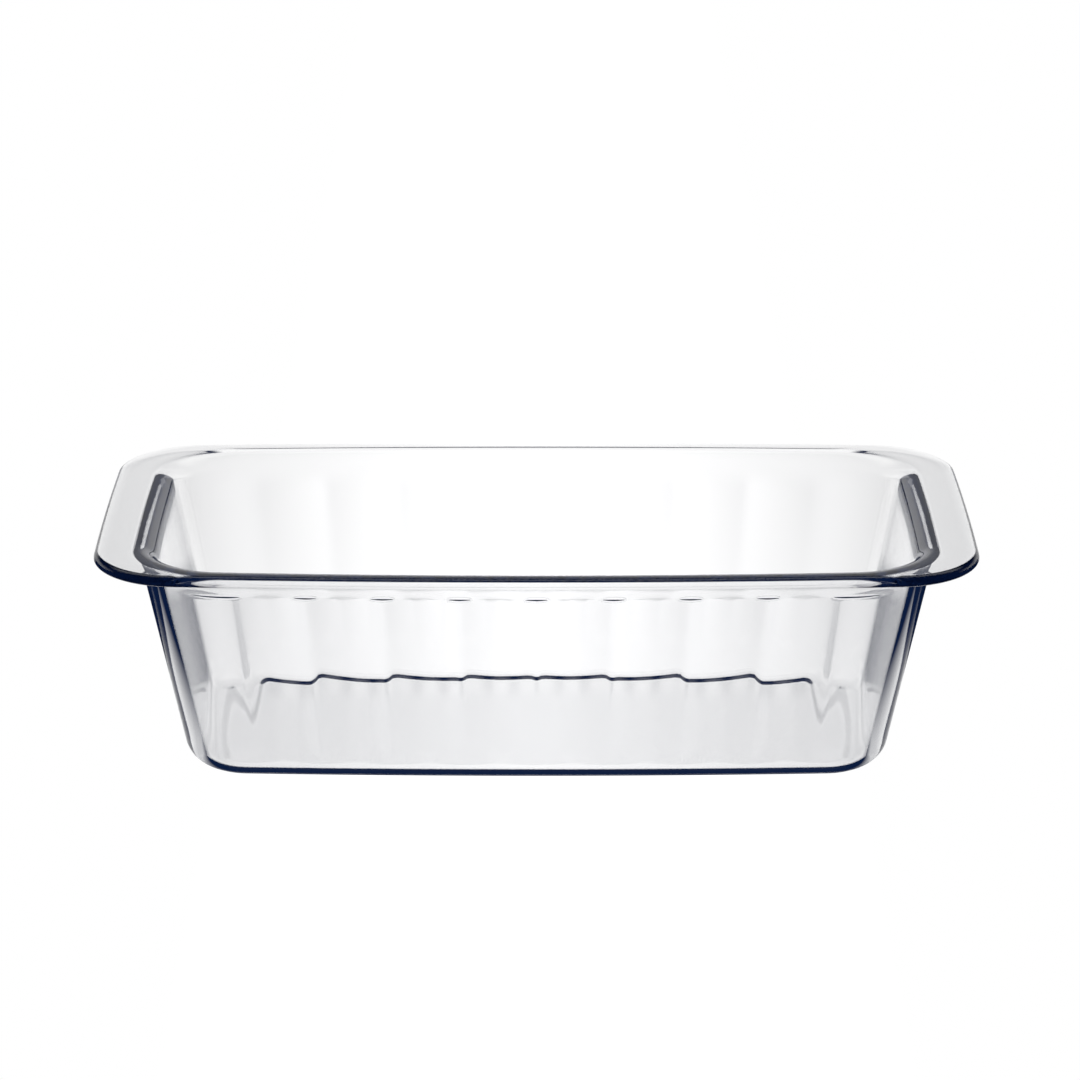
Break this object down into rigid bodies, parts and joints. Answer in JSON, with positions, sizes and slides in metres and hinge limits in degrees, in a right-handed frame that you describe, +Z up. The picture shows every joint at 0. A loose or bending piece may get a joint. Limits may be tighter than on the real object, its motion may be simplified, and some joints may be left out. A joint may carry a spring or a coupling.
{
  "type": "loaf pan",
  "caption": "Oblong pressed-glass baking pan with drafted walls, fluted long sides, a flat rim and a wide flat handle at each short end, for baking bread and loaf cakes.",
  "frame": {"origin": "middle of the foot ring that the pan stands on, which is the middle of the bottom of the bounding box", "axes": "+X along the pan towards one handle, +Y across it, +Z up out of the open mouth"},
  "size_m": [0.28, 0.136, 0.076],
  "materials": {
    "glass": "clear pressed glass, fire-polished, with a faint blue cast at the edges"
  },
  "bodies": {
    "root": {"glass_pan": "glass"}
  },
  "joints": []
}
